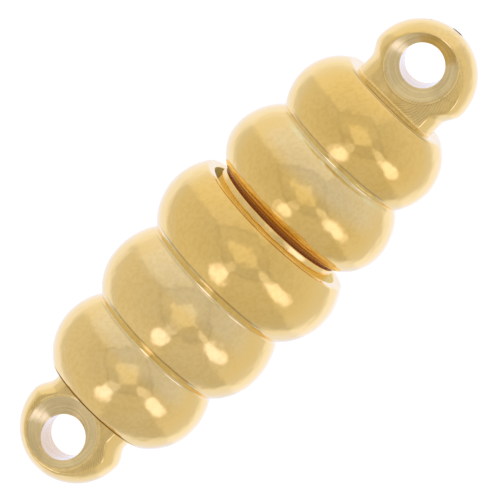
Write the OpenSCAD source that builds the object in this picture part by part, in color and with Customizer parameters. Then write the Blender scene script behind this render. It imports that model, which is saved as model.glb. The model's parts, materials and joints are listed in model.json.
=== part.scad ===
// Ribbed barrel clasp: a socket half and a nose half, each turned from one bar with an eye at its end,
// and a disc magnet set in each half. It lies as it would by itself, on its second and third ribs.

/* [Ribs] */
// Diameter over rib 1, next to the eye of the socket half
rib_1_d = 5.80; // [5:0.02:7]
// Diameter over rib 2
rib_2_d = 6.46; // [6:0.02:6.9]
// Diameter over rib 3, the widest, which holds the mouth of the socket
rib_3_d = 7.00; // [6.8:0.02:9]
// Diameter over rib 4, the first of the nose half
rib_4_d = 6.54; // [6:0.02:6.9]
// Diameter over rib 5, next to the eye of the nose half
rib_5_d = 5.88; // [5:0.02:7]
// Distance between the crests of ribs 1 and 2
pitch_12 = 2.76; // [2.4:0.02:3.4]
// Distance between the crests of ribs 2 and 3
pitch_23 = 3.02; // [2.6:0.02:3.6]
// Distance between the crests of ribs 3 and 4, with the clasp closed
pitch_34 = 2.86; // [2.7:0.02:3.4]
// Distance between the crests of ribs 4 and 5
pitch_45 = 2.72; // [2.4:0.02:3.4]

/* [Valleys] */
// Diameter of the valley between ribs 1 and 2
valley_12_d = 4.96; // [4.7:0.02:5.4]
// Diameter of the valley between ribs 2 and 3
valley_23_d = 5.46; // [5.1:0.02:5.9]
// Diameter of the valley between ribs 4 and 5
valley_45_d = 4.90; // [4.7:0.02:5.4]
// Where the first valley lies between its two crests, as a share of their distance
valley_12_at = 0.43; // [0.4:0.01:0.6]
// Where the second valley lies between its two crests, as a share of their distance
valley_23_at = 0.46; // [0.4:0.01:0.6]
// Where the valley of the nose half lies between its two crests, as a share of their distance
valley_45_at = 0.53; // [0.4:0.01:0.6]
// Radius left in the bottom of each valley by the turning tool
valley_round = 0.12; // [0.05:0.01:0.2]

/* [Mouth and nose] */
// Distance from the crest of rib 3 to the flat lip of the socket
mouth_reach = 1.23; // [1:0.01:1.3]
// Thickness of the socket's wall at its lip
lip_wall = 0.35; // [0.25:0.01:0.45]
// Diameter of the polished collar that fits into the socket
collar_d = 5.00; // [4.9:0.02:5.1]
// Radial clearance between the collar and the wall of the socket
mouth_gap = 0.24; // [0.1:0.01:0.3]
// Length of collar that shows between the lip and rib 4
collar_show = 0.28; // [0.2:0.01:0.35]
// Width of the relief groove at the foot of the collar
relief_w = 0.15; // [0.1:0.01:0.2]
// Depth of the relief groove
relief_depth = 0.18; // [0.1:0.01:0.2]
// Diameter of the sharp edge where rib 4 starts
flank_d = 5.28; // [5.15:0.01:5.5]
// How far the nose reaches into the socket
nose_reach = 1.55; // [1.2:0.05:1.8]
// Gap between the face of the nose and the floor of the socket
face_gap = 0.05; // [0.02:0.01:0.1]

/* [Magnets] */
// Diameter of each magnet disc
magnet_d = 4.00; // [3:0.1:4.2]
// Thickness of each magnet disc
magnet_t = 2.00; // [1:0.1:2.2]
// Clearance all round a magnet in its pocket
magnet_gap = 0.02; // [0.01:0.01:0.05]

/* [Eyes] */
// Distance from the crest of rib 1 to the shoulder of the socket half
socket_shoulder = 1.58; // [1.4:0.02:1.8]
// Distance from the crest of rib 5 to the shoulder of the nose half
nose_shoulder = 1.52; // [1.4:0.02:1.8]
// Diameter of the flat shoulder at the end of each half
shoulder_d = 4.20; // [3.8:0.02:4.6]
// Diameter of the turned ball that becomes an eye
ball_d = 3.84; // [3.6:0.02:4]
// Distance from the shoulder of the socket half to the middle of its ball
socket_eye_reach = 1.10; // [1:0.02:1.6]
// Distance from the shoulder of the nose half to the middle of its ball
nose_eye_reach = 1.21; // [1:0.02:1.6]
// Diameter of the neck between shoulder and ball
neck_d = 3.28; // [3:0.02:3.5]
// Length over which the ball tapers down to the neck
neck_taper = 0.60; // [0.4:0.02:0.8]
// Thickness of the eye between its two milled flats
eye_t = 2.30; // [2:0.05:2.6]
// Diameter of the hole through each eye
bore_d = 1.54; // [1:0.02:1.7]
// How far the hole lies beyond the middle of the ball
bore_out = 0.40; // [0:0.02:0.45]
// How far the nose half's hole was drilled off to the side
nose_bore_side = 0.19; // [0:0.01:0.25]
// Diameter of the countersinks at both ends of the hole
sink_d = 2.46; // [1.8:0.02:2.6]
// Depth at which the countersinks meet a hole that they are in line with
sink_depth = 0.30; // [0.2:0.02:0.6]
// How far the socket half's countersinks lie off its hole, towards the shoulder
socket_sink_back = 0.15; // [0:0.01:0.2]
// How far the socket half's countersinks lie off its hole, to the side
socket_sink_side = 0.12; // [0:0.01:0.2]
// How far the socket half is turned about the length of the clasp
socket_roll = 5; // [0:1:10]

/* [Finish] */
// Width of the small bevel on turned edges
edge_break = 0.05; // [0.02:0.01:0.08]
// Smoothness of round shapes
$fn = 96; // [48:8:200]

/* [Hidden] */
// Small length by which a cut runs past the surface that it opens
past = 0.2;

// Each crest and valley is a point [radius, place along the clasp]; rib 3's crest is at place 0
crest_1 = [rib_1_d / 2, -pitch_12 - pitch_23];
crest_2 = [rib_2_d / 2, -pitch_23];
crest_3 = [rib_3_d / 2, 0];
crest_4 = [rib_4_d / 2, pitch_34];
crest_5 = [rib_5_d / 2, pitch_34 + pitch_45];
valley_12 = [valley_12_d / 2, crest_1[1] + valley_12_at * pitch_12];
valley_23 = [valley_23_d / 2, crest_2[1] + valley_23_at * pitch_23];
valley_45 = [valley_45_d / 2, crest_4[1] + valley_45_at * pitch_45];

// Ends of the turned profiles, as points of the same kind
collar_r = collar_d / 2;
recess_r = collar_r + mouth_gap;
lip = [recess_r + lip_wall, mouth_reach];
collar_end = mouth_reach + collar_show;
rib_4_start = [flank_d / 2, collar_end + relief_w];
socket_end = [shoulder_d / 2, crest_1[1] - socket_shoulder];
nose_end = [shoulder_d / 2, crest_5[1] + nose_shoulder];

// Places along the clasp of the mating faces and of the two eyes' balls
nose_face = mouth_reach - nose_reach;
recess_floor = nose_face - face_gap;
socket_eye = socket_end[1] - socket_eye_reach;
nose_eye = nose_end[1] + nose_eye_reach;

// Places of the two holes and of the socket half's countersinks, as [along the clasp, to the side]
socket_hole = [socket_eye - bore_out, 0];
socket_sink = socket_hole + [socket_sink_back, socket_sink_side];
nose_hole = [nose_eye + bore_out, nose_bore_side];

// Radius of the arc that leaves a crest level and reaches a lower point
function flank_round(crest, low) =
    let (run = abs(low[1] - crest[1]), drop = crest[0] - low[0])
    (run * run + drop * drop) / (2 * drop);
// Middle of that arc
function flank_middle(crest, low) = [crest[0] - flank_round(crest, low), crest[1]];

// The point, away from the clasp's middle line, at two given distances from two middles
function meeting(a, a_far, b, b_far) =
    let (d = norm(b - a), along = (a_far * a_far - b_far * b_far + d * d) / (2 * d))
    let (up = sqrt(a_far * a_far - along * along), way = (b - a) / d)
    a + along * way + up * [way[1], -way[0]];

// Tilt at which ribs 2 and 3 both touch the ground, and how high rib 3's middle then lies
round_2 = flank_round(crest_2, valley_12);
round_3 = flank_round(crest_3, valley_23);
middle_2 = flank_middle(crest_2, valley_12);
middle_3 = flank_middle(crest_3, valley_23);
rise = middle_3 - middle_2;
rest_tilt = atan2(rise[0], rise[1]) + asin((round_3 - round_2) / norm(rise));
rest_height = middle_3[0] * cos(rest_tilt) + round_3;
rest_middle = (socket_eye + nose_eye) / 2 * cos(rest_tilt);

// Sets a shape made along the clasp's own length, along X, down on the ground
module at_rest() {
    translate([-rest_middle, 0, rest_height])
        rotate([0, -rest_tilt, 0])
            children();
}

// Stands a turned shape along X
module along_clasp() {
    rotate([0, 90, 0])
        children();
}

// Half section under the arc of one flank, between two places along the clasp
module flank_slice(crest, low, from, to) {
    round_r = flank_round(crest, low);
    middle = flank_middle(crest, low);
    core_r = max(middle[0], edge_break);
    translate([0, from])
        square([core_r, to - from]);
    intersection() {
        translate(middle)
            circle(r = round_r);
        translate([0, from])
            square([crest[0], to - from]);
    }
}

// Half section from one crest to the next, with the round bottom of the valley between them
module valley_slice(left, low, right) {
    left_middle = flank_middle(left, low);
    right_middle = flank_middle(right, low);
    left_round = flank_round(left, low);
    right_round = flank_round(right, low);
    tool = meeting(left_middle, left_round + valley_round, right_middle, right_round + valley_round);
    from = left_middle + (tool - left_middle) * left_round / (left_round + valley_round);
    to = right_middle + (tool - right_middle) * right_round / (right_round + valley_round);
    flank_slice(left, low, left[1], from[1]);
    flank_slice(right, low, to[1], right[1]);
    difference() {
        polygon([[0, from[1]], from, to, [0, to[1]]]);
        translate(tool)
            circle(r = valley_round);
    }
}

// Small square on its corner, which bevels the edge at a point of a half section
module edge_cut(point) {
    translate(point)
        rotate(45)
            square(norm([edge_break, edge_break]), center = true);
}

// Half section of a ball and its neck; the side says which way along the clasp the eye points
module eye_section(shoulder, eye, side) {
    ball_r = ball_d / 2;
    neck_r = neck_d / 2;
    neck_from = min(shoulder, eye);
    translate([0, neck_from])
        square([neck_r, abs(eye - shoulder)]);
    intersection() {
        translate([0, eye])
            circle(r = ball_r);
        polygon([
            [0, eye + side * ball_r],
            [ball_r, eye + side * ball_r],
            [ball_r, eye],
            [neck_r, eye - side * neck_taper],
            [0, eye - side * neck_taper]
        ]);
    }
}

// What is taken off both faces of an eye, above a shoulder: the flat and the hole's countersink
module eye_faces(shoulder, side, sink_at) {
    length = nose_eye - socket_eye;
    slope = (sink_d - bore_d) / 2 / sink_depth;
    point_depth = sink_d / 2 / slope;
    for (face = [0, 1])
        mirror([0, 0, face]) {
            translate([shoulder + side * length / 2, 0, (eye_t + ball_d) / 2])
                cube([length, 2 * ball_d, ball_d], center = true);
            translate([sink_at[0], sink_at[1], eye_t / 2 - point_depth])
                cylinder(h = point_depth + past, r1 = 0, r2 = sink_d / 2 + past * slope);
        }
}

// The hole through an eye
module eye_hole(at) {
    translate([at[0], at[1], 0])
        cylinder(h = eye_t + 2 * past, d = bore_d, center = true);
}

// Disc magnet from one place along the clasp to another, or with a clearance its pocket
module magnet_disc(from, to, gap) {
    along_clasp()
        translate([0, 0, from - gap])
            cylinder(h = to - from + 2 * gap, d = magnet_d + 2 * gap);
}

module socket_section() {
    difference() {
        union() {
            flank_slice(crest_1, socket_end, socket_end[1], crest_1[1]);
            valley_slice(crest_1, valley_12, crest_2);
            valley_slice(crest_2, valley_23, crest_3);
            flank_slice(crest_3, lip, crest_3[1], lip[1]);
            eye_section(socket_end[1], socket_eye, -1);
        }
        translate([0, recess_floor])
            square([recess_r, mouth_reach - recess_floor + past]);
        edge_cut(lip);
        edge_cut([recess_r, mouth_reach]);
        edge_cut(socket_end);
    }
}

module nose_section() {
    difference() {
        union() {
            translate([0, nose_face])
                square([collar_r, collar_end - nose_face]);
            translate([0, collar_end])
                square([collar_r - relief_depth, relief_w]);
            flank_slice(crest_4, rib_4_start, rib_4_start[1], crest_4[1]);
            valley_slice(crest_4, valley_45, crest_5);
            flank_slice(crest_5, nose_end, crest_5[1], nose_end[1]);
            eye_section(nose_end[1], nose_eye, 1);
        }
        edge_cut([collar_r, nose_face]);
        edge_cut([collar_r, collar_end]);
        edge_cut(nose_end);
    }
}

module socket_shell() {
    color("#d4b468")
        at_rest()
            rotate([-socket_roll, 0, 0])
                difference() {
                    along_clasp()
                        rotate_extrude()
                            socket_section();
                    eye_faces(socket_end[1], -1, socket_sink);
                    eye_hole(socket_hole);
                    magnet_disc(recess_floor - magnet_t, recess_floor, magnet_gap);
                }
}

module socket_magnet() {
    color("silver")
        at_rest()
            magnet_disc(recess_floor - magnet_t, recess_floor, 0);
}

module nose_shell() {
    color("#d4b468")
        at_rest()
            difference() {
                along_clasp()
                    rotate_extrude()
                        nose_section();
                eye_faces(nose_end[1], 1, nose_hole);
                eye_hole(nose_hole);
                magnet_disc(nose_face, nose_face + magnet_t, magnet_gap);
            }
}

module nose_magnet() {
    color("silver")
        at_rest()
            magnet_disc(nose_face, nose_face + magnet_t, 0);
}

socket_shell();
socket_magnet();
nose_shell();
nose_magnet();
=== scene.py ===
import json
from math import asin, atan2, cos, exp, hypot, pi, radians, sin, sqrt

import bmesh
import bpy
import numpy as np
from mathutils import Matrix, Vector


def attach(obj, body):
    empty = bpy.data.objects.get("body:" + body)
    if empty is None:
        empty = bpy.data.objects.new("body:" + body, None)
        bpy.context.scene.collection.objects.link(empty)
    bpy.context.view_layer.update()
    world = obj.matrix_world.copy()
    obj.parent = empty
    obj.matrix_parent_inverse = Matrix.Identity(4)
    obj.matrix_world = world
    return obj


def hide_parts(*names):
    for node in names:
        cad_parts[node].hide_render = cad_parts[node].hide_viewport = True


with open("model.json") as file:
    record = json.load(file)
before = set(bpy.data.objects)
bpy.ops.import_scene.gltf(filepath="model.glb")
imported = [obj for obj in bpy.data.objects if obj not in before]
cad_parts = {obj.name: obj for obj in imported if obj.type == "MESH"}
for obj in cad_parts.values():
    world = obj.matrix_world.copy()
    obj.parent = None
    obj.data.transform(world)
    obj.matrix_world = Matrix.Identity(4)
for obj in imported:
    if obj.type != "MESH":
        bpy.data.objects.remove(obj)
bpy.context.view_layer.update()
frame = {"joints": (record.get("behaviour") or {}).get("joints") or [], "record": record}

# Sizes are in millimetres and become metres where an object is made. Each half has its own axes:
# X along the clasp from the crest of rib 3, Y to its side and Z along the hole through its eye.
MM = 0.001

# Turned profile, as (place along the clasp, radius)
CREST_1 = (-5.78, 2.90)
VALLEY_12 = (-4.54, 2.52)
CREST_2 = (-3.02, 3.23)
VALLEY_23 = (-1.57, 2.78)
CREST_3 = (0.00, 3.50)
LIP = (1.23, 3.09)
RIB_4_START = (1.66, 2.64)
CREST_4 = (2.86, 3.27)
VALLEY_45 = (4.43, 2.55)
CREST_5 = (5.58, 2.94)
SOCKET_END = (-7.36, 2.10)
NOSE_END = (7.10, 2.10)
VALLEY_ROUND = 0.12
RECESS_R = 2.74
RECESS_FLOOR = -0.37
NOSE_FACE = -0.32
COLLAR_R = 2.50
COLLAR_END = 1.51
GROOVE_R = 2.32
MAGNET_R = 2.00
MAGNET_T = 2.00
MAGNET_GAP = 0.02
MAGNET_EDGE = 0.12
TURNED_EDGE = 0.05
INNER_EDGE = 0.02
SWIVEL_AT = 1.23

# Eyes; distances along X run outwards from the shoulder
SOCKET_BALL = 1.10
SOCKET_HOLE = (1.50, 0.0)
SOCKET_SINK = (1.35, 0.12)
NOSE_BALL = 1.21
NOSE_HOLE = (1.61, 0.19)
NECK_R = 1.64
NECK_FILLET = 0.05
TAPER = 0.70
BALL_R = 1.92
FLAT_Z = 1.15
HOLE_R = 0.77
SINK_R = 1.23
SINK_DEPTH = 0.30
SINK_SLOPE = (SINK_R - HOLE_R) / SINK_DEPTH
MILLED_EDGE = 0.045
SINK_EDGE = 0.05
BURR_HEIGHT = 0.006
BURR_SPREAD = 0.025
BURR_HALF = 0.090
SLIVER = 0.004

# How fine the meshes are
COLUMNS = 256
FLANK_STEPS = 22
VALLEY_STEPS = 8
EDGE_STEPS = 3
SIDE_STEPS = 58
NECK_STEPS = 10
BALL_STEPS = 92
FILLET_STEPS = 3
SHOULDER_STEPS = 3
CONE_STEPS = 12
BURR_STEPS = 16
FLAT_STEPS = 8
WALL_STEPS = 8
# Steps of a profile's straight lines, from the shortest to the longest
FEW, SOME, MORE, MANY = 2, 3, 4, 8
RIM_HALVINGS = 40
FIRST_COLUMN = radians(-45)
SHOULDER_RING_R = 1.92
MERGE = 1e-5
SHARP_ANGLE = radians(32)

# Gold plate, by its tint in a single reflection
PLATE_PALE = (0.98, 0.700, 0.285)
PLATE_DEEP = (0.97, 0.665, 0.225)
# Painted reflections and shade by each valley: a pale band, a paler sheen along the crease and a dark line of
# painted shade
VALLEY_BAND_PAINTED_PALE = (0.96, 0.735, 0.380)
CREASE_PAINTED_SHEEN = (0.95, 0.830, 0.480)
CREASE_PAINTED_SHADE = (0.62, 0.460, 0.210)
# Painted pale reflection on rib 4's flank
RIB_4_FLANK_PAINTED_PALE = (0.97, 0.800, 0.480)
# Painted reflection and a painted dark edge line at the nose's shoulder
SHOULDER_PAINTED_REFLECTION = (0.70, 0.570, 0.260, 1)
SHOULDER_EDGE_PAINTED_SHADE = (0.66, 0.380, 0.110, 1)
# Painted dark reflection where rib 4 starts
RIB_4_PAINTED_DARK_REFLECTION = (0.46, 0.320, 0.150, 1)
SIDE_TINT = (0.97, 0.680, 0.250, 1)
# Painted highlight on the burr round each countersink
BURR_PAINTED_HIGHLIGHT = (1.0, 0.740, 0.300, 1)
SINK_TINT = (0.90, 0.750, 0.460, 1)
# Painted pinkish shade on the hole's wall
HOLE_PAINTED_PINK_SHADE = (0.75, 0.480, 0.330, 1)
SEAM_BROWN = (0.25, 0.130, 0.020, 1)
# Painted pale reflection where rib 4 starts
RIB_4_START_PAINTED_PALE = (0.97, 0.820, 0.520)
BLOTCH_TINT = (0.99, 0.965, 0.88, 1)
GRAIN_TINT = (0.955, 0.94, 0.90, 1)
RECESS_GOLD = (0.85, 0.58, 0.22, 1)
RECESS_DEEP_GLOW = (0.22, 0.175, 0.08, 1)
# Painted light near the recess's lip and painted shade in its corner; the glows are painted light
RECESS_LIP_PAINTED_LIGHT = (0.62, 0.55, 0.30, 1)
RECESS_CORNER_PAINTED_SHADE = (0.30, 0.25, 0.10, 1)
RECESS_GLOW = (0.40, 0.37, 0.18, 1)
RECESS_DIM = (0.13, 0.10, 0.03, 1)
# Painted dark red shade in the nose's groove; its glow is painted light
GROOVE_PAINTED_SHADE = (0.40, 0.12, 0.008, 1)
GROOVE_GLOW = (0.02, 0.006, 0.0005, 1)
MARK_GREY = (0.17, 0.125, 0.09, 1)
NO_GLOW = (0, 0, 0, 1)
NICKEL_BRIGHT = (0.74, 0.73, 0.71, 1)
NICKEL_DULL = (0.60, 0.59, 0.57, 1)

# Tints along each half and how strongly its turning lines show, as (place, tint, lines); by each valley and
# where rib 4 starts the tints are painted reflections, with a line of painted shade in each crease
SOCKET_TINTS = [
    (-7.46, PLATE_PALE, 0.2),
    (-5.35, PLATE_PALE, 0.1),
    (-5.00, VALLEY_BAND_PAINTED_PALE, 0.7),
    (-4.53, VALLEY_BAND_PAINTED_PALE, 1.0),
    (-4.49, CREASE_PAINTED_SHEEN, 1.0),
    (-4.30, CREASE_PAINTED_SHEEN, 0.5),
    (-4.28, CREASE_PAINTED_SHADE, 0.5),
    (-4.24, CREASE_PAINTED_SHADE, 0.5),
    (-4.21, PLATE_PALE, 0.2),
    (-2.60, PLATE_PALE, 0.1),
    (-2.20, VALLEY_BAND_PAINTED_PALE, 0.7),
    (-1.56, VALLEY_BAND_PAINTED_PALE, 1.0),
    (-1.52, CREASE_PAINTED_SHEEN, 1.0),
    (-1.31, CREASE_PAINTED_SHEEN, 0.5),
    (-1.29, CREASE_PAINTED_SHADE, 0.5),
    (-1.25, CREASE_PAINTED_SHADE, 0.5),
    (-1.22, PLATE_DEEP, 0.2),
    (0.60, PLATE_DEEP, 0.1),
    (1.23, PLATE_DEEP, 0.4),
]
NOSE_TINTS = [
    (-0.40, PLATE_PALE, 0.3),
    (1.49, PLATE_PALE, 0.5),
    (1.72, RIB_4_START_PAINTED_PALE, 0.8),
    (1.86, RIB_4_START_PAINTED_PALE, 0.6),
    (1.95, RIB_4_FLANK_PAINTED_PALE, 0.6),
    (2.06, PLATE_DEEP, 0.2),
    (3.25, PLATE_DEEP, 0.1),
    (3.75, VALLEY_BAND_PAINTED_PALE, 0.7),
    (4.26, VALLEY_BAND_PAINTED_PALE, 1.0),
    (4.30, CREASE_PAINTED_SHEEN, 1.0),
    (4.36, CREASE_PAINTED_SHEEN, 1.0),
    (4.40, VALLEY_BAND_PAINTED_PALE, 1.0),
    (4.47, VALLEY_BAND_PAINTED_PALE, 1.0),
    (4.51, CREASE_PAINTED_SHEEN, 1.0),
    (4.62, CREASE_PAINTED_SHEEN, 0.5),
    (4.64, CREASE_PAINTED_SHADE, 0.5),
    (4.67, CREASE_PAINTED_SHADE, 0.5),
    (4.70, PLATE_DEEP, 0.2),
    (6.90, PLATE_DEEP, 0.2),
    (7.16, PLATE_PALE, 0.3),
]
# Thin bands where rib 4 starts and at the shoulders, as (first place, last place, tint, whether matt): a
# painted dark reflection on rib 4, painted reflection and painted shade at the nose's shoulder, and a dark
# matt brown line by the socket's shoulder, all only on top
SOCKET_BANDS = [(-7.34, -7.285, SEAM_BROWN, 1)]
NOSE_BANDS = [
    (1.67, 1.76, RIB_4_PAINTED_DARK_REFLECTION, 0),
    (7.035, 7.06, SHOULDER_EDGE_PAINTED_SHADE, 0),
    (7.06, 7.11, SHOULDER_PAINTED_REFLECTION, 0),
]
BAND_SOFT = 0.01
# Where the recess and the groove are dull: first and last place along the clasp, outermost radius
RECESS_DULL = (RECESS_FLOOR - 0.10, LIP[0] - 0.04, RECESS_R + 0.02)
GROOVE_DULL = (COLLAR_END + 0.01, RIB_4_START[0] + 0.01, COLLAR_R - 0.02)
# Tints and glows of the recess: deep in, near its lip, and in its dark corner; the recess is painted paler
# near its lip and has painted shade in its corner, and the glows are painted light
RECESS_TINTS = (RECESS_GOLD, RECESS_LIP_PAINTED_LIGHT, RECESS_CORNER_PAINTED_SHADE)
RECESS_GLOWS = (RECESS_DEEP_GLOW, RECESS_GLOW, RECESS_DIM)
# The corner of the recess with painted shade: over which places to the side and in height it starts
DARK_SIDE = (2.50, 2.60)
DARK_LOW = (0.00, 0.40)
# Over which places along the clasp the recess is painted paler towards its lip
NEAR_LIP = (0.60, 0.95)
# Heights over which the thin bands start
BAND_HEIGHT = (0.60, 1.10)
# Over which shares of the radius, in height, the tints along the clasp start, so that their painted
# reflections and shade show only on top and the sides keep the plain plate tint
TINT_HEIGHT = (0.50, 0.80)
# Thin burr round each countersink, matt and with a painted highlight, by its distance outside the edge
BURR_LINE = (0.015, 0.05)
BURR_SOFT = 0.012
BURR_SEEN = 0.9
# How softly the dull stretch ends along the clasp and outwards, and how much less metal shows in it
DULL_SOFT = 0.02
DULL_EDGE = 0.03
DULL_METAL = -0.65
# How far the tints wander along the clasp
WANDER = 0.04
# The countersink, how much of its tint and shade shows, and the painted pinkish shade on the hole's wall by
# its distance
SINK_SOFT = 0.03
SINK_TINTED = 0.5
SINK_SHADE = -0.30
HOLE_LINE = (0.002, 0.01)
HOLE_SEEN = 0.4
# Shade of the milled faces, by spots, by the countersink's rings and by chatter marks
MILLED_SHADE = 0.90
SHADE_SPREAD = 0.10
RINGS_SHADE = 0.60
RINGS_DRIFT = 0.05
CHATTER_SHADE = -0.18
CHATTER_COUNT = 72
CHATTER_SWEEP = 0.8
CHATTER_SWAY = 0.35
# Roughness, from polished to the roughest grain, and what is added where it is milled or worn
ROUGH_LOW = 0.06
ROUGH_HIGH = 0.12
MILLED_ROUGH = 0.12
WORN_ROUGH = 0.35
SPECULAR = 0.5
# Relief, and how deep each kind of mark is in it
BUMP_DEPTH = 0.00001
BUMP_STRENGTH = 0.15
LINES_DEEP = 0.8
LINES_LEAST = 0.15
GRAIN_DEEP = 0.3
WAVES_DEEP = 18
RINGS_DEEP = 1.0
CHATTER_DEEP = 0.4

# Noises, as (bumps to the millimetre, detail) and, for the turning lines, how they are drawn out
GRAIN = (14, 4)
BLOTCHES = (0.8, 4)
FLECKS = (7, 3)
TINT_WANDER = (1.1, 2)
SHADE_SPOTS = (6, 3)
TURNING_LINES = (1.0, 3, (16, 0.5, 0.5))
SLOW_WAVES = (1.7, 1)
RINGS = (13, 3)
BURR_GAPS = (2.5, 2)
CHATTER_BENDS = (1.2, 2)
CHATTER_PATCHES = (1.3, 3)
SPOT_EDGE = (5, 3)
SCUFFS = (2.5, 5)
# Over which values of a noise the thing that it carries comes in
GRAIN_OVER = (0.3, 0.7)
BLOTCH_OVER = (0.35, 0.70)
FLECK_OVER = (0.42, 0.62)
BURR_OVER = (0.36, 0.52)
CHATTER_OVER = (0.40, 0.58)
SCUFF_OVER = (0.45, 0.65)
NICKEL_ROUGH = (0.12, 0.30)

# The cut-off mark on the end of the nose half's eye and a nick beside it, in that half's axes
CUT_OFF_AT = (10.24, 0.12, -0.10)
CUT_OFF_R = 0.25
NICK_AT = (9.92, 1.06, 0.05)
NICK_R = 0.05
SPOTS = [(CUT_OFF_AT, CUT_OFF_R), (NICK_AT, NICK_R)]
# How ragged the edges of both are, and how much of each radius is dark all over
SPOT_RAGGED = 0.9
SPOT_CORE = 0.7

# Camera
CAMERA_LEAN = 4.9
PICTURE_TURN = 45.6
CAMERA_FAR = 300
PICTURE_WIDTH = 16.78
AIM_ALONG = 0.022
AIM_SIDE = 0.011
SENSOR = 36
NEAREST = 0.001

# Light tent, by degrees off the camera's line and by turn in the picture, from right over down.
# Each wall: first and last turn, tone at the top and lower down, where the floor shows, floor's tone
TENT_WALLS = [
    (-38, 68, 0.66, 0.76, 127, 1.00),
    (68, 127, 0.65, 0.61, 122, 0.90),
    (127, 235, 0.65, 0.73, 127, 0.95),
    (235, 322, 0.76, 0.88, 127, 0.98),
]
WALL_SEAM = 8
FLOOR_WIDTH = 16
FLOOR_TINT = (1.0, 1.08, 1.36)
# Where a wall turns to its lower tone and the light to the floor's tint, and over how many degrees
WALL_SHIFT = (72, 70)
FLOOR_TINT_SHIFT = (120, 44)
# The ceiling and the patch in its middle are squares, by their sizes at a height of 1
CEILING_HALF = 0.64
CEILING_STRETCH = 0.80
CEILING_SOFT = 0.08
PATCH_HALF = 0.27
PATCH_SOFT = 0.15
LEAST_HEIGHT = 0.05
# Both have one tone in front and another at the back, with a dark seam round the ceiling
BACK_SHIFT = (0.0, 0.6)
CEILING_FRONT = 0.59
CEILING_BACK = 0.67
PATCH_FRONT = 0.80
PATCH_BACK = 0.86
SEAM_DEPTH = 0.06
SEAM_WIDTH = 0.07
LAMP_SOFTNESS = 0.8
# Each lamp: degrees off, turn, half sizes outwards and sideways, colour
LAMPS = [
    (58.7, 139.5, 19.5, 9.5, (1.24, 1.28, 1.76)),
    (58.7, 54.0, 18.5, 9.8, (1.24, 1.28, 1.76)),
    (33.5, 137.0, 10.0, 7.0, (0.80, 0.82, 0.94)),
    (34.5, 51.5, 9.0, 6.0, (0.86, 0.88, 1.00)),
]
TENT_FAR = 700
TENT_RINGS = 120
TENT_COLUMNS = 240

# Floor
FLOOR_HALF = 1500
FLOOR_COLOUR = (0.35, 0.35, 0.35, 1)
FLOOR_ROUGH = 0.9
FLOOR_GLOW = 0.85
WORLD_COLOUR = (0.9, 0.9, 0.9, 1)
WHITE = (1, 1, 1, 1)


def lerp(a, b, share):
    """What lies some share of the way from one value to another."""
    return a + (b - a) * share


def line(start, end, steps=1):
    """Evenly spaced points of a straight line."""
    return [tuple(lerp(np.array(start), np.array(end), k / steps)) for k in range(steps + 1)]


def flank_circle(crest, low):
    """Middle and radius of the arc that leaves a crest level and reaches a lower point."""
    run, drop = low[0] - crest[0], crest[1] - low[1]
    radius = (run ** 2 + drop ** 2) / (2 * drop)
    return np.array([crest[0], crest[1] - radius]), radius


def flank(crest, low, start, end):
    """Points of a flank's arc between two places along the clasp."""
    middle, radius = flank_circle(crest, low)
    first, last = asin((start - middle[0]) / radius), asin((end - middle[0]) / radius)
    return [
        (middle[0] + radius * sin(a), middle[1] + radius * cos(a))
        for a in np.linspace(first, last, FLANK_STEPS + 1)
    ]


def valley(left, low, right):
    """Points from one crest to the next, round the bottom of the valley between them."""
    (a, a_r), (b, b_r) = flank_circle(left, low), flank_circle(right, low)
    a_far, b_far = a_r + VALLEY_ROUND, b_r + VALLEY_ROUND
    way = (b - a) / np.linalg.norm(b - a)
    along = (a_far ** 2 - b_far ** 2 + np.dot(b - a, b - a)) / (2 * np.linalg.norm(b - a))
    tool = a + along * way + sqrt(a_far ** 2 - along ** 2) * np.array([-way[1], way[0]])
    start = lerp(a, tool, a_r / a_far)
    end = lerp(b, tool, b_r / b_far)
    first = atan2(*(start - tool)[::-1])
    last = atan2(*(end - tool)[::-1])
    bottom = [
        (tool[0] + VALLEY_ROUND * cos(t), tool[1] + VALLEY_ROUND * sin(t))
        for t in np.linspace(first, last, VALLEY_STEPS + 1)
    ]
    return flank(left, low, left[0], start[0])[:-1] + bottom + flank(right, low, end[0], right[0])[1:]


def trimmed(points, length):
    """A line without its last bit, so that it ends that far from where it ended."""
    end = np.array(points[-1])
    kept = [p for p in points if hypot(*(end - np.array(p))) > length]
    last = np.array(kept[-1])
    following = np.array(points[len(kept)])
    step = following - last
    # Where the step crosses the circle of that radius round the end
    gap = last - end
    a, b, c = step @ step, 2 * gap @ step, gap @ gap - length ** 2
    share = (-b - sqrt(b * b - 4 * a * c)) / (2 * a)
    return kept + [tuple(last + share * step)]


def joined(lines, edges):
    """One line through several that meet end to end, with each corner rounded by its own edge."""
    whole = list(lines[0])
    for following, edge in zip(lines[1:], edges):
        corner = np.array(whole[-1])
        before = trimmed(whole, edge)
        after = trimmed(following[::-1], edge)[::-1]
        start, end = np.array(before[-1]), np.array(after[0])
        bend = [
            tuple((1 - t) ** 2 * start + 2 * t * (1 - t) * corner + t * t * end)
            for t in (k / (EDGE_STEPS + 1) for k in range(1, EDGE_STEPS + 1))
        ]
        whole = before + bend + after
    return whole


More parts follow.
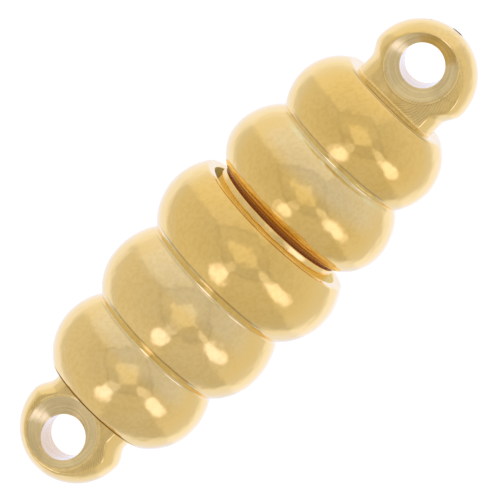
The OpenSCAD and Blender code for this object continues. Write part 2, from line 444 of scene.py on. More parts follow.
def socket_profile():
    """The socket half's section from its shoulder, over the ribs and round its mouth, to its axis."""
    outside = (
        flank(CREST_1, SOCKET_END, SOCKET_END[0], CREST_1[0])[:-1]
        + valley(CREST_1, VALLEY_12, CREST_2)[:-1]
        + valley(CREST_2, VALLEY_23, CREST_3)[:-1]
        + flank(CREST_3, LIP, CREST_3[0], LIP[0])
    )
    pocket_r, pocket_floor = MAGNET_R + MAGNET_GAP, RECESS_FLOOR - MAGNET_T - MAGNET_GAP
    lines = [
        line((SOCKET_END[0], SHOULDER_RING_R), SOCKET_END),
        outside,
        line(LIP, (LIP[0], RECESS_R), FEW),
        line((LIP[0], RECESS_R), (RECESS_FLOOR, RECESS_R), MANY),
        line((RECESS_FLOOR, RECESS_R), (RECESS_FLOOR, pocket_r), MORE),
        line((RECESS_FLOOR, pocket_r), (pocket_floor, pocket_r), FEW),
        line((pocket_floor, pocket_r), (pocket_floor, 0), FEW),
    ]
    return joined(lines, [TURNED_EDGE] * 4 + [INNER_EDGE] * 2)


def nose_profile():
    """The nose half's section from its axis, round its collar and over the ribs, to its shoulder."""
    outside = (
        flank(CREST_4, RIB_4_START, RIB_4_START[0], CREST_4[0])[:-1]
        + valley(CREST_4, VALLEY_45, CREST_5)[:-1]
        + flank(CREST_5, NOSE_END, CREST_5[0], NOSE_END[0])
    )
    pocket_r, pocket_floor = MAGNET_R + MAGNET_GAP, NOSE_FACE + MAGNET_T + MAGNET_GAP
    lines = [
        line((pocket_floor, 0), (pocket_floor, pocket_r), FEW),
        line((pocket_floor, pocket_r), (NOSE_FACE, pocket_r), FEW),
        line((NOSE_FACE, pocket_r), (NOSE_FACE, COLLAR_R), SOME),
        line((NOSE_FACE, COLLAR_R), (COLLAR_END, COLLAR_R), MANY),
        line((COLLAR_END, COLLAR_R), (COLLAR_END, GROOVE_R)),
        line((COLLAR_END, GROOVE_R), (RIB_4_START[0], GROOVE_R)),
        line((RIB_4_START[0], GROOVE_R), RIB_4_START, FEW),
        outside,
        line(NOSE_END, (NOSE_END[0], SHOULDER_RING_R)),
    ]
    return joined(lines, [INNER_EDGE] * 2 + [TURNED_EDGE] * 2 + [INNER_EDGE] * 3 + [TURNED_EDGE])


def column_angles():
    """Angles of the lathe's columns, which start at one corner of the eye's section."""
    return [FIRST_COLUMN + 2 * pi * k / COLUMNS for k in range(COLUMNS)]


def closed(rows):
    """Grid rows whose last column meets the first one again."""
    return [list(row) + [row[0]] for row in rows]


def lathe(profile):
    """Grid of a profile turned about the X axis."""
    return closed([(x, r * cos(a), r * sin(a)) for a in column_angles()] for x, r in profile)


class Eye:
    """The eye of one half, with X running outwards from the shoulder."""

    def __init__(self, ball, hole, sink):
        self.ball = ball
        self.hole = np.array(hole)
        self.sink = np.array(sink)

    def face(self, x, y):
        """Height of the milled face over a point, with the countersink's rounded edge and its burr."""
        inside = SINK_R - hypot(x - self.sink[0], y - self.sink[1])
        burr = BURR_HEIGHT * exp(-((inside + SINK_EDGE) / BURR_SPREAD) ** 2)
        rounded = min(max(inside + SINK_EDGE, 0), 2 * SINK_EDGE) ** 2 / (4 * SINK_EDGE)
        return FLAT_Z - (rounded + max(inside - SINK_EDGE, 0)) / SINK_SLOPE + burr

    def neck(self, x):
        """Radius of the neck, which widens smoothly into the ball."""
        share = min(max((x - self.ball + TAPER) / TAPER, 0), 1)
        return lerp(NECK_R, BALL_R, (1 - cos(pi * share)) / 2)

    def side(self, station, z):
        """Point of the turned side at one station and height; a station is (x, side) or an angle."""
        if isinstance(station, tuple):
            x, sign = station
            return np.array([x, sign * sqrt(self.neck(x) ** 2 - z * z)])
        out = sqrt(BALL_R ** 2 - z * z)
        return np.array([self.ball + out * cos(station), out * sin(station)])

    def rim_height(self, station):
        """Height at which the turned side meets the milled face."""
        low, high = FLAT_Z / 2, FLAT_Z
        for _ in range(RIM_HALVINGS):
            z = (low + high) / 2
            if self.face(*self.side(station, z)) > z:
                low = z
            else:
                high = z
        return low

    def half_section(self, station):
        """Upper half of the section at a station, from the middle up to the milled face's edge."""
        rim = self.rim_height(station)
        corner = self.side(station, rim)
        if isinstance(station, tuple):
            inward = np.array([0, -station[1]])
        else:
            inward = -np.array([cos(station), sin(station)])
        edge = corner + MILLED_EDGE * inward
        wall_top = rim - MILLED_EDGE
        wall = [(*self.side(station, z), z) for z in np.linspace(0, wall_top, SIDE_STEPS // 2 + 1)]
        start = np.array(wall[-1])
        bend, end = np.array([*corner, rim]), np.array([*edge, self.face(*edge)])
        rounding = [
            tuple((1 - t) ** 2 * start + 2 * t * (1 - t) * bend + t * t * end)
            for t in (k / EDGE_STEPS for k in range(1, EDGE_STEPS + 1))
        ]
        return wall + rounding

    def section(self, station):
        """The section at a station, from the lower face's edge to the upper one's."""
        half = self.half_section(station)
        return [(x, y, -z) for x, y, z in half[:0:-1]] + half

    def stations(self):
        """Stations from the neck's +Y side round the ball's end to its -Y side."""
        places = [lerp(NECK_FILLET, self.ball, k / NECK_STEPS) for k in range(NECK_STEPS)]
        angles = [lerp(pi / 2, -pi / 2, k / BALL_STEPS) for k in range(BALL_STEPS + 1)]
        return [(x, 1) for x in places] + angles + [(x, -1) for x in places[::-1]]

    def loop(self, x):
        """The closed section at a place in the fillet between the neck and the shoulder."""
        grown = NECK_FILLET - sqrt(max(NECK_FILLET ** 2 - (NECK_FILLET - x) ** 2, 0))
        right = self.section((NECK_FILLET, 1))
        scale_r = (NECK_R + grown) / NECK_R
        right = [(x, y * scale_r, z * (FLAT_Z + grown) / FLAT_Z) for _, y, z in right]
        left = [(px, -y, z) for px, y, z in right[::-1]]
        count = COLUMNS // 2 - len(right)
        top = [tuple(p) for p in line(right[-1], left[0], count + 1)[1:-1]]
        bottom = [tuple(p) for p in line(left[-1], right[0], count + 1)[1:-1]]
        return right + top + left + bottom

    def boundary(self):
        """Closed edge of the upper milled face: the line at the shoulder, then round the ball."""
        across = self.loop(NECK_FILLET)[SIDE_STEPS + 2 * EDGE_STEPS:COLUMNS // 2 + 1]
        round_ball = [self.half_section(s)[-1] for s in self.stations()]
        return [p[:2] for p in across] + [p[:2] for p in round_ball[::-1][1:-1]]

    def face_rows(self):
        """Grid of the upper face, from the hole's edge over the countersink to the boundary."""
        spokes = []
        for point in self.boundary():
            way = np.array(point) - self.hole
            reach = hypot(*way)
            way /= reach
            to_sink = self.hole - self.sink
            b = to_sink @ way
            cone_end = -b + sqrt(b * b - to_sink @ to_sink + SINK_R ** 2)
            burr_half = min(BURR_HALF, (reach - cone_end) / 2)
            if burr_half < SLIVER:
                cone_end, burr_half = reach - 2 * SLIVER, SLIVER
            stops = [HOLE_R, cone_end - burr_half, cone_end + burr_half, reach]
            outs = [HOLE_R]
            for start, end, steps in zip(stops, stops[1:], (CONE_STEPS, BURR_STEPS, FLAT_STEPS)):
                outs += [lerp(start, end, k / steps) for k in range(1, steps + 1)]
            places = [self.hole + out * way for out in outs]
            spokes.append([(x, y, self.face(x, y)) for x, y in places])
        return [list(row) for row in zip(*spokes)]

    def grids(self):
        """All grids of the eye and of the flat shoulder ring round its neck."""
        fillet = [
            self.loop(NECK_FILLET * (1 - cos(pi / 2 * k / FILLET_STEPS)))
            for k in range(FILLET_STEPS + 1)
        ]
        ring = [(0, SHOULDER_RING_R * cos(a), SHOULDER_RING_R * sin(a)) for a in column_angles()]
        foot = fillet[0]
        shoulder = [
            [tuple(lerp(np.array(p), np.array(q), k / SHOULDER_STEPS)) for p, q in zip(foot, ring)]
            for k in range(SHOULDER_STEPS + 1)
        ]
        top = self.face_rows()
        bottom = [[(x, y, -z) for x, y, z in row] for row in top]
        rim = top[0]
        hole = [
            [(x, y, lerp(z, -z, k / WALL_STEPS)) for x, y, z in rim]
            for k in range(WALL_STEPS + 1)
        ]
        sides = [self.section(s) for s in self.stations()]
        turned = [sides, closed(fillet), closed(shoulder), closed(hole)]
        return turned, [closed(top), closed(bottom)]


def mesh_object(name, turned, milled, placed):
    """A closed smooth mesh from grids of points in a half's own axes, with those points kept."""
    points, faces, marks = [], [], []
    for rows, mark in [(rows, 0) for rows in turned] + [(rows, 1) for rows in milled]:
        width = len(rows[0])
        first = len(points)
        points += [point for row in rows for point in row]
        marks += [mark] * (len(points) - first)
        for i in range(len(rows) - 1):
            for j in range(width - 1):
                a = first + i * width + j
                faces.append((a, a + 1, a + width + 1, a + width))
    mesh = bpy.data.meshes.new(name)
    mesh.from_pydata(points, [], faces)
    mesh.attributes.new("milled", "FLOAT", "POINT").data.foreach_set("value", marks)
    shape = bmesh.new()
    shape.from_mesh(mesh)
    bmesh.ops.remove_doubles(shape, verts=shape.verts, dist=MERGE)
    bmesh.ops.dissolve_degenerate(shape, edges=shape.edges, dist=MERGE)
    bmesh.ops.recalc_face_normals(shape, faces=shape.faces)
    shape.to_mesh(mesh)
    shape.free()
    own = np.zeros(len(mesh.vertices) * 3)
    mesh.vertices.foreach_get("co", own)
    mesh.attributes.new("own", "FLOAT_VECTOR", "POINT").data.foreach_set("vector", own)
    mesh.transform(placed @ Matrix.Scale(MM, 4))
    mesh.shade_smooth()
    mesh.set_sharp_from_angle(angle=SHARP_ANGLE)
    piece = bpy.data.objects.new(name, mesh)
    bpy.context.scene.collection.objects.link(piece)
    weighted = piece.modifiers.new("even_normals", "WEIGHTED_NORMAL")
    weighted.keep_sharp = True
    return piece


def clasp_axis():
    """The clasp's axis at rest and the point on it at the crest of rib 3, from the swivel joint."""
    swivel = next(j for j in frame["joints"] if j["name"] == "swivel")
    axis = Vector(swivel["axis"]).normalized()
    return axis, Vector(swivel["pos_m"]) - axis * SWIVEL_AT * MM


def half_axes(mount_name):
    """Matrix from a half's own axes to the frame, with Z along the hole through its eye."""
    mount = next(m for m in frame["record"]["mounts"] if m["name"] == mount_name)
    axis, origin = clasp_axis()
    up = Vector(mount["axis"])
    up = (up - up.dot(axis) * axis).normalized()
    side = up.cross(axis)
    placed = Matrix((axis, side, up)).transposed().to_4x4()
    placed.translation = origin
    return placed


def disc_profile(start, end):
    """Section of a magnet disc with worn edges."""
    lines = [
        line((start, 0), (start, MAGNET_R), SOME),
        line((start, MAGNET_R), (end, MAGNET_R), MORE),
        line((end, MAGNET_R), (end, 0), SOME),
    ]
    return joined(lines, [MAGNET_EDGE, MAGNET_EDGE])


def turned_out(grids, shoulder, sign):
    """An eye's grids moved from their own axes to its half's."""
    return [[[(shoulder + sign * x, y, z) for x, y, z in row] for row in rows] for rows in grids]


def half_body(name, profile, eye, shoulder, sign, placed):
    """One half: its turned ribs and the eye at its end."""
    turned, milled = eye.grids()
    turned = [lathe(profile)] + turned_out(turned, shoulder, sign)
    return mesh_object(name, turned, turned_out(milled, shoulder, sign), placed)


def build_pieces():
    """The two halves and the two magnet discs, with body, replaced node and slot of each."""
    socket_axes, nose_axes = half_axes("socket_eye_hole"), half_axes("nose_eye_hole")
    socket_eye = Eye(SOCKET_BALL, SOCKET_HOLE, SOCKET_SINK)
    nose_eye = Eye(NOSE_BALL, NOSE_HOLE, NOSE_HOLE)
    socket = half_body("socket_body", socket_profile(), socket_eye, SOCKET_END[0], -1, socket_axes)
    nose = half_body("nose_body", nose_profile(), nose_eye, NOSE_END[0], 1, nose_axes)
    socket_grid = lathe(disc_profile(RECESS_FLOOR - MAGNET_T, RECESS_FLOOR))
    nose_grid = lathe(disc_profile(NOSE_FACE, NOSE_FACE + MAGNET_T))
    socket_disc = mesh_object("socket_disc", [socket_grid], [], socket_axes)
    nose_disc = mesh_object("nose_disc", [nose_grid], [], nose_axes)
    return [
        (socket, "socket_half", "socket_shell", "gold_plate"),
        (nose, "nose_half", "nose_shell", "gold_plate"),
        (socket_disc, "socket_half", "socket_magnet", "magnet"),
        (nose_disc, "nose_core", "nose_magnet", "magnet"),
    ]


def node(tree, kind, settings=None, **inputs):
    """Adds a node; each input is a number, a colour, or an output to link. Names use _ for a space."""
    made = tree.nodes.new(kind)
    for name, value in (settings or {}).items():
        setattr(made, name, value)
    for name, value in inputs.items():
        key = int(name[3:]) if name.startswith("in_") else name.replace("_", " ")
        if isinstance(value, bpy.types.NodeSocket):
            tree.links.new(value, made.inputs[key])
        else:
            made.inputs[key].default_value = value
    return made


def calc(tree, operation, a, b=0.0, c=0.0):
    """Output of one sum on numbers or outputs."""
    return node(tree, "ShaderNodeMath", {"operation": operation}, in_0=a, in_1=b, in_2=c).outputs[0]


def product(tree, *factors):
    """Product of several outputs or numbers."""
    whole = factors[0]
    for factor in factors[1:]:
        whole = calc(tree, "MULTIPLY", whole, factor)
    return whole


def ramp(tree, value, low, high, to_low=0.0, to_high=1.0):
    """A value mapped smoothly from one range to another."""
    settings = {"interpolation_type": "SMOOTHSTEP"}
    return node(
        tree, "ShaderNodeMapRange", settings,
        Value=value, From_Min=low, From_Max=high, To_Min=to_low, To_Max=to_high,
    ).outputs["Result"]


def falling(tree, value, low, high, to_low=1.0):
    """A value mapped smoothly down to 0."""
    return ramp(tree, value, low, high, to_low, 0.0)


def within(tree, value, low, high, soft):
    """1 between two limits and 0 outside them."""
    return product(tree, ramp(tree, value, low - soft, low), falling(tree, value, high, high + soft))


def mixed(tree, share, a, b):
    """A colour between two colours."""
    return node(tree, "ShaderNodeMix", {"data_type": "RGBA"}, in_0=share, in_6=a, in_7=b).outputs[2]


def multiplied(tree, share, a, b):
    """A colour, multiplied by another one to some share."""
    settings = {"data_type": "RGBA", "blend_type": "MULTIPLY"}
    return node(tree, "ShaderNodeMix", settings, in_0=share, in_6=a, in_7=b).outputs[2]


def noise(tree, place, scale, detail=2.0, stretch=(1, 1, 1)):
    """Noise of a given fineness, in bumps to the millimetre, drawn out along some axes."""
    drawn = node(tree, "ShaderNodeVectorMath", {"operation": "MULTIPLY"}, in_0=place, in_1=stretch).outputs[0]
    return node(tree, "ShaderNodeTexNoise", Vector=drawn, Scale=scale, Detail=detail).outputs["Fac"]


def tints_along(tree, x, tints):
    """Tint of the plate and strength of its turning lines, by the place along the clasp."""
    first, last = tints[0][0], tints[-1][0]
    share = node(tree, "ShaderNodeMapRange", Value=x, From_Min=first, From_Max=last).outputs["Result"]
    made = node(tree, "ShaderNodeValToRGB", Fac=share)
    stops = made.color_ramp.elements
    for place, tint, lines in tints[1:-1]:
        stops.new((place - first) / (last - first)).color = (*tint, lines)
    stops[0].color = (*tints[0][1], tints[0][2])
    stops[-1].color = (*tints[-1][1], tints[-1][2])
    return made.outputs["Color"], made.outputs["Alpha"]


def gap_from(tree, place, point):
    """Distance from a point in the half's own axes."""
    settings = {"operation": "DISTANCE"}
    return node(tree, "ShaderNodeVectorMath", settings, in_0=place, in_1=point).outputs["Value"]


class Plate:
    """Gold plate over turned brass on one half: its nodes, and the places that its looks go by."""

    def __init__(self, name, sink, hole):
        self.material = bpy.data.materials.new(name)
        self.material.use_nodes = True
        self.material.cycles.emission_sampling = "NONE"
        self.tree = self.material.node_tree
        self.shader = self.tree.nodes["Principled BSDF"]
        self.place = node(self.tree, "ShaderNodeAttribute", {"attribute_name": "own"}).outputs["Vector"]
        self.milled = node(self.tree, "ShaderNodeAttribute", {"attribute_name": "milled"}).outputs["Fac"]
        self.x, self.y, self.z = node(self.tree, "ShaderNodeSeparateXYZ", Vector=self.place).outputs
        squares = self.scaled(self.y, self.y, calc(self.tree, "MULTIPLY", self.z, self.z))
        self.radius = calc(self.tree, "SQRT", squares)
        self.sink, self.hole = sink, hole

    def scaled(self, value, factor, added):
        """A value times a factor, plus another value."""
        return calc(self.tree, "MULTIPLY_ADD", value, factor, added)

    def noise(self, kind, place=None):
        """One of the noises, at the place on the half or at another one."""
        return noise(self.tree, self.place if place is None else place, *kind)

    def speckle(self, kind, over):
        """One of the noises, from 0 to 1 over a range of its values."""
        return ramp(self.tree, self.noise(kind), *over)

    def stretch_between(self, first, last, outermost):
        """1 on what lies between two places along the clasp and inside a radius."""
        along = within(self.tree, self.x, first, last, DULL_SOFT)
        return product(self.tree, along, falling(self.tree, self.radius, outermost, outermost + DULL_EDGE))

    def inside_colour(self, inside, near_lip, in_corner):
        """A colour by the place in the recess: deep in, painted paler near its lip, and with painted shade in
        its dark corner.
        """
        low = falling(self.tree, self.z, *DARK_LOW)
        corner = product(self.tree, ramp(self.tree, self.y, *DARK_SIDE), low)
        outer = ramp(self.tree, self.x, *NEAR_LIP)
        return mixed(self.tree, outer, inside, mixed(self.tree, corner, near_lip, in_corner))

    def mark_eye(self):
        """Finds the tool marks on the eye, each from 0 to 1."""
        tree = self.tree
        level = node(tree, "ShaderNodeCombineXYZ", X=self.x, Y=self.y).outputs[0]
        out = gap_from(tree, level, (*self.sink, 0))
        self.in_sink = falling(tree, out, SINK_R - SINK_SOFT, SINK_R)
        drift = product(tree, self.x, RINGS_DRIFT)
        ring_place = node(tree, "ShaderNodeCombineXYZ", X=out, Y=drift).outputs[0]
        self.rings = product(tree, self.noise(RINGS, ring_place), self.in_sink)
        # The burr's line is matt and carries a painted highlight
        line_round = within(tree, out, SINK_R + BURR_LINE[0], SINK_R + BURR_LINE[1], BURR_SOFT)
        self.burr = product(tree, line_round, self.speckle(BURR_GAPS, BURR_OVER), self.milled, BURR_SEEN)
        # The hole's wall and edge get a matt painted pinkish shade
        from_hole = gap_from(tree, level, (*self.hole, 0))
        self.in_hole = falling(tree, from_hole, HOLE_R + HOLE_LINE[0], HOLE_R + HOLE_LINE[1], HOLE_SEEN)
        self.strokes = self.chatter(out)

    def chatter(self, out):
        """Chatter marks of the milling tool, which sweep out from the countersink."""
        tree = self.tree
        away = [calc(tree, "SUBTRACT", value, at) for value, at in zip((self.y, self.x), self.sink[::-1])]
        turn = calc(tree, "ARCTAN2", *away)
        sweep = self.scaled(self.noise(CHATTER_BENDS), CHATTER_SWAY, product(tree, out, CHATTER_SWEEP))
        wave = calc(tree, "SINE", product(tree, calc(tree, "ADD", turn, sweep), CHATTER_COUNT))
        strokes = self.scaled(wave, 0.5, 0.5)
        on_flat = calc(tree, "SUBTRACT", 1.0, self.in_sink)
        return product(tree, strokes, on_flat, self.speckle(CHATTER_PATCHES, CHATTER_OVER))

    def ribs_colour(self, tints, bands):
        """Colour of the turned surface with its painted reflections and shade, and where its thin bands are
        matt.
        """
        tree = self.tree
        wander = self.scaled(self.noise(TINT_WANDER), WANDER, -WANDER / 2)
        colour, self.lines = tints_along(tree, calc(tree, "ADD", self.x, wander), tints)
        colour = multiplied(tree, self.speckle(BLOTCHES, BLOTCH_OVER), colour, BLOTCH_TINT)
        colour = multiplied(tree, self.speckle(FLECKS, FLECK_OVER), colour, GRAIN_TINT)
        self.matt = calc(tree, "MAXIMUM", self.burr, self.in_hole)
        # Thin bands, only on top; most are painted reflections and shade
        for first, last, tint, is_matt in bands:
            on_top = ramp(tree, self.z, *BAND_HEIGHT)
            band = product(tree, within(tree, self.x, first, last, BAND_SOFT), on_top)
            colour = mixed(tree, band, colour, tint)
            if is_matt:
                self.matt = calc(tree, "MAXIMUM", self.matt, band)
        # The painted tints show only on top; the sides get the plain plate tint
        on_top = ramp(tree, calc(tree, "DIVIDE", self.z, self.radius), *TINT_HEIGHT)
        return mixed(tree, on_top, SIDE_TINT, colour)

    def eye_colour(self, colour):
        """The colour with the shade and tint of the milled faces, the painted highlight on the burr and the
        painted shade on the hole's wall.
        """
        tree = self.tree
        shade = self.scaled(self.noise(SHADE_SPOTS), SHADE_SPREAD, MILLED_SHADE - SHADE_SPREAD / 2)
        shade = self.scaled(self.rings, RINGS_SHADE, self.scaled(self.in_sink, SINK_SHADE, shade))
        shade = self.scaled(self.strokes, CHATTER_SHADE, shade)
        colour = mixed(tree, product(tree, self.in_sink, self.milled, SINK_TINTED), colour, SINK_TINT)
        colour = multiplied(tree, self.milled, colour, shade)
        # Painted highlight on the burr
        colour = mixed(tree, self.burr, colour, BURR_PAINTED_HIGHLIGHT)
        # Painted pinkish shade on the hole's wall
        return mixed(tree, self.in_hole, colour, HOLE_PAINTED_PINK_SHADE)

    def spotted(self, colour, spots):
        """The colour with dark spots, which are matt and worn too."""
        tree = self.tree
        for point, reach in spots:
            gap = gap_from(tree, self.place, point)
            ragged = self.scaled(self.noise(SPOT_EDGE), reach * SPOT_RAGGED, gap)
            core, end = reach * (SPOT_CORE + SPOT_RAGGED / 2), reach * (1 + SPOT_RAGGED / 2)
            spot = falling(tree, ragged, core, end)
            colour = mixed(tree, spot, colour, MARK_GREY)
            self.matt = calc(tree, "MAXIMUM", self.matt, spot)
            self.worn = calc(tree, "MAXIMUM", self.worn, spot)
        return colour

    def relief(self, grain):
        """Turning lines and grain, with slow waves that bend the reflections a little."""
        tree = self.tree
        strength = calc(tree, "ADD", self.lines, LINES_LEAST)
        height = product(tree, self.noise(TURNING_LINES), strength, LINES_DEEP)
        height = self.scaled(grain, GRAIN_DEEP, height)
        height = self.scaled(self.noise(SLOW_WAVES), WAVES_DEEP, height)
        height = self.scaled(product(tree, self.rings, self.milled), RINGS_DEEP, height)
        height = self.scaled(product(tree, self.strokes, self.milled), CHATTER_DEEP, height)
        bump = node(tree, "ShaderNodeBump", Height=height, Strength=BUMP_STRENGTH, Distance=BUMP_DEPTH)
        return bump.outputs["Normal"]

    def link(self, **inputs):
        """Links outputs to the shader's inputs; names use _ for a space."""
        for name, output in inputs.items():
            self.tree.links.new(output, self.shader.inputs[name.replace("_", " ")])


def gold(name, tints, bands, sink, hole, dull_stretch, dull_tints, dull_glows, spots):
    """Gold plate over turned brass, with a duller stretch in the mouth, tool marks on the eye, and painted
    reflections, highlights and shade.
    """
    plate = Plate(name, sink, hole)
    tree = plate.tree
    dull = plate.worn = plate.stretch_between(*dull_stretch)
    plate.mark_eye()
    colour = plate.eye_colour(plate.ribs_colour(tints, bands))
    colour = mixed(tree, dull, colour, plate.inside_colour(*dull_tints))
    colour = plate.spotted(colour, spots)
    metal = product(tree, plate.scaled(dull, DULL_METAL, 1.0), calc(tree, "SUBTRACT", 1.0, plate.matt))
    specular = plate.scaled(plate.matt, -SPECULAR, SPECULAR)
    grain = plate.noise(GRAIN)
    rough = ramp(tree, grain, *GRAIN_OVER, ROUGH_LOW, ROUGH_HIGH)
    rough = plate.scaled(plate.milled, MILLED_ROUGH, rough)
    rough = plate.scaled(plate.worn, WORN_ROUGH, rough)
    plate.link(Base_Color=colour, Metallic=metal, Roughness=rough, Specular_IOR_Level=specular)
    plate.link(Normal=plate.relief(grain))

    # Light that many bounces bring into the narrow gap between the halves
    plate.link(Emission_Color=mixed(tree, dull, NO_GLOW, plate.inside_colour(*dull_glows)))
    plate.shader.inputs["Emission Strength"].default_value = 1
    return plate.material


def nickel():
    """Bright nickel on the magnets, with scuffs from other magnets."""
    material = bpy.data.materials.new("nickel")
    material.use_nodes = True
    tree = material.node_tree
    shader = tree.nodes["Principled BSDF"]
    shader.inputs["Metallic"].default_value = 1
    place = node(tree, "ShaderNodeAttribute", {"attribute_name": "own"}).outputs["Vector"]
    scuffs = ramp(tree, noise(tree, place, *SCUFFS), *SCUFF_OVER)
    tree.links.new(mixed(tree, scuffs, NICKEL_BRIGHT, NICKEL_DULL), shader.inputs["Base Color"])
    tree.links.new(ramp(tree, scuffs, 0.0, 1.0, *NICKEL_ROUGH), shader.inputs["Roughness"])
    return material


def make_camera():
    """The photograph's camera: nearly straight above, with the clasp turned in the picture."""
    axis, origin = clasp_axis()
    lean, turn = radians(CAMERA_LEAN), radians(PICTURE_TURN)
    toward = Vector((sin(lean), 0, cos(lean)))
    along = Vector((cos(lean), 0, -sin(lean)))
    side = Vector((0, 1, 0))
    right = along * cos(turn) - side * sin(turn)
    up = along * sin(turn) + side * cos(turn)
    target = origin + (along * AIM_ALONG - side * AIM_SIDE) * MM
    camera = bpy.data.objects.new("camera", bpy.data.cameras.new("camera"))
    bpy.context.scene.collection.objects.link(camera)
    placed = Matrix((right, up, toward)).transposed().to_4x4()
    placed.translation = target + toward * CAMERA_FAR * MM
    camera.matrix_world = placed
    camera.data.sensor_width = SENSOR
    camera.data.lens = SENSOR * CAMERA_FAR / PICTURE_WIDTH
    camera.data.clip_start = NEAREST
    bpy.context.scene.camera = camera
    return right, up, toward, target


def soft_step(value, edge, width):
    """0 below an edge and 1 above it, with a smooth change of the given width."""
    share = np.clip((value - edge) / width + 0.5, 0, 1)
    return share * share * (3 - 2 * share)


def lamp_share(direction, off, turn, off_size, side_size):
    """How much of a soft lamp behind the tent's cloth shows in some directions."""
    a, b = radians(off), radians(turn)
    middle = np.array([sin(a) * cos(b), sin(a) * sin(b), cos(a)])
    outward = np.array([cos(a) * cos(b), cos(a) * sin(b), -sin(a)])
    sideways = np.cross(middle, outward)
    out = direction @ outward / sin(radians(off_size))
    aside = direction @ sideways / sin(radians(side_size))
    return (1 - soft_step(np.hypot(out, aside), 1, LAMP_SOFTNESS)) * (direction @ middle > 0)


def tent_glow(direction):
    """Colour of the light tent in some directions: right, down and towards the camera."""
    across, down, high = direction.T
    off = np.degrees(np.arccos(np.clip(high, -1, 1)))
    turn = np.degrees(np.arctan2(down, across))
    tone, whole = np.zeros(len(direction)), np.zeros(len(direction))
    for first, last, top, low, floor_at, floor_tone in TENT_WALLS:
        aside = np.abs((turn - (first + last) / 2 + 180) % 360 - 180)
        share = 1 - soft_step(aside, (last - first) / 2, WALL_SEAM)
        wall = lerp(top, low, soft_step(off, *WALL_SHIFT))
        tone += share * lerp(wall, floor_tone, soft_step(off, floor_at, FLOOR_WIDTH))
        whole += share
    tone /= whole
    flat = np.maximum(high, LEAST_HEIGHT)
    x, y = across / flat, down / flat
    box = np.maximum(np.abs(x), np.where(y < 0, CEILING_STRETCH, 1) * np.abs(y))
    inner = np.maximum(np.abs(x), np.abs(y))
    above = high > 0
    ceiling = (1 - soft_step(box, CEILING_HALF, CEILING_SOFT)) * above
    patch = (1 - soft_step(inner, PATCH_HALF, PATCH_SOFT)) * above
    back = soft_step(-y, *BACK_SHIFT)
    tone = lerp(tone, lerp(CEILING_FRONT, CEILING_BACK, back), ceiling)
    tone = lerp(tone, lerp(PATCH_FRONT, PATCH_BACK, back), patch)
    tone -= SEAM_DEPTH * np.exp(-((box - CEILING_HALF) / SEAM_WIDTH) ** 2) * above
    tint = lerp(np.ones(3), np.array(FLOOR_TINT), soft_step(off, *FLOOR_TINT_SHIFT)[:, None])
    colour = tone[:, None] * tint
    for off_at, turn_at, off_size, side_size, glow in LAMPS:
        share = lamp_share(direction, off_at, turn_at, off_size, side_size)[:, None]
        colour = lerp(colour, np.array(glow), share)
    return colour


def make_tent(basis):
    """A dome of softly lit cloth all round the clasp, which shows only in its reflections."""
    right, up, toward, target = basis
    directions = []
    for i in range(TENT_RINGS + 1):
        for j in range(TENT_COLUMNS):
            a, b = pi * i / TENT_RINGS, 2 * pi * j / TENT_COLUMNS
            directions.append((sin(a) * cos(b), sin(a) * sin(b), cos(a)))
    directions = np.array(directions)
    faces = [
        (i * TENT_COLUMNS + j, i * TENT_COLUMNS + (j + 1) % TENT_COLUMNS,
         (i + 1) * TENT_COLUMNS + (j + 1) % TENT_COLUMNS, (i + 1) * TENT_COLUMNS + j)
        for i in range(TENT_RINGS) for j in range(TENT_COLUMNS)
    ]
    axes = np.array([right, -up, toward])
    mesh = bpy.data.meshes.new("tent")
    mesh.from_pydata((directions @ axes * TENT_FAR * MM + np.array(target)).tolist(), [], faces)
    colours = np.ones((len(directions), 4))
    colours[:, :3] = tent_glow(directions)
    mesh.attributes.new("glow", "FLOAT_COLOR", "POINT").data.foreach_set("color", colours.ravel())
    tent = bpy.data.objects.new("tent", mesh)
    bpy.context.scene.collection.objects.link(tent)
    tent.visible_camera = False
    tent.visible_shadow = False
    material = bpy.data.materials.new("tent")
    material.use_nodes = True
    material.cycles.emission_sampling = "NONE"
    tree = material.node_tree
    tree.nodes.clear()
    colour = node(tree, "ShaderNodeAttribute", {"attribute_name": "glow"}).outputs["Color"]
    glow = node(tree, "ShaderNodeEmission", Color=colour)
    node(tree, "ShaderNodeOutputMaterial", Surface=glow.outputs[0])
    mesh.materials.append(material)


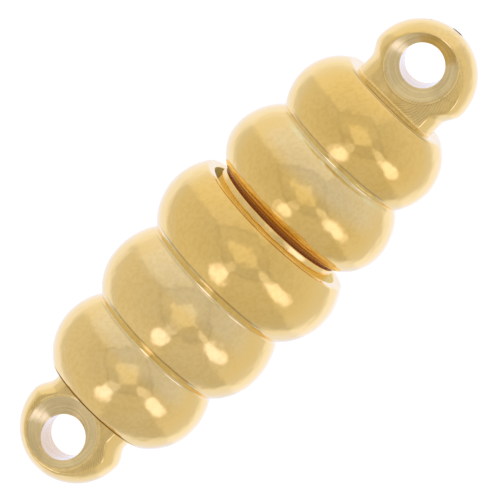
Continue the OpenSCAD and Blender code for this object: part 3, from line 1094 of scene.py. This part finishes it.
def make_floor():
    """The white floor; it doesn't show in reflections, where the tent's own floor is."""
    mesh = bpy.data.meshes.new("floor")
    size = FLOOR_HALF * MM
    corners = [(-size, -size, 0), (size, -size, 0), (size, size, 0), (-size, size, 0)]
    mesh.from_pydata(corners, [], [(0, 1, 2, 3)])
    floor = bpy.data.objects.new("floor", mesh)
    bpy.context.scene.collection.objects.link(floor)
    floor.visible_glossy = False
    material = bpy.data.materials.new("floor")
    material.use_nodes = True
    shader = material.node_tree.nodes["Principled BSDF"]
    shader.inputs["Base Color"].default_value = FLOOR_COLOUR
    shader.inputs["Roughness"].default_value = FLOOR_ROUGH
    shader.inputs["Emission Color"].default_value = WHITE
    shader.inputs["Emission Strength"].default_value = FLOOR_GLOW
    mesh.materials.append(material)


def dress(pieces):
    """Gives each piece its material and the body that it moves with, and hides the CAD node that it stands
    for.
    """
    socket_sink = (SOCKET_END[0] - SOCKET_SINK[0], SOCKET_SINK[1])
    socket_hole = (SOCKET_END[0] - SOCKET_HOLE[0], SOCKET_HOLE[1])
    nose_sink = (NOSE_END[0] + NOSE_HOLE[0], NOSE_HOLE[1])
    discs = nickel()
    materials = {
        "socket_shell": gold(
            "socket_gold", SOCKET_TINTS, SOCKET_BANDS, socket_sink, socket_hole,
            RECESS_DULL, RECESS_TINTS, RECESS_GLOWS, [],
        ),
        "nose_shell": gold(
            "nose_gold", NOSE_TINTS, NOSE_BANDS, nose_sink, nose_sink,
            GROOVE_DULL, [GROOVE_PAINTED_SHADE] * 3, [GROOVE_GLOW] * 3, SPOTS,
        ),
        "socket_magnet": discs,
        "nose_magnet": discs,
    }
    for piece, body, replaced, slot in pieces:
        piece.data.materials.append(materials[replaced])
        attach(piece, body)
        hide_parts(replaced)


make_tent(make_camera())
make_floor()
dress(build_pieces())

bpy.context.scene.view_settings.view_transform = "Standard"
world = bpy.data.worlds.new("studio")
bpy.context.scene.world = world
world.use_nodes = True
world.node_tree.nodes["Background"].inputs["Color"].default_value = WORLD_COLOUR
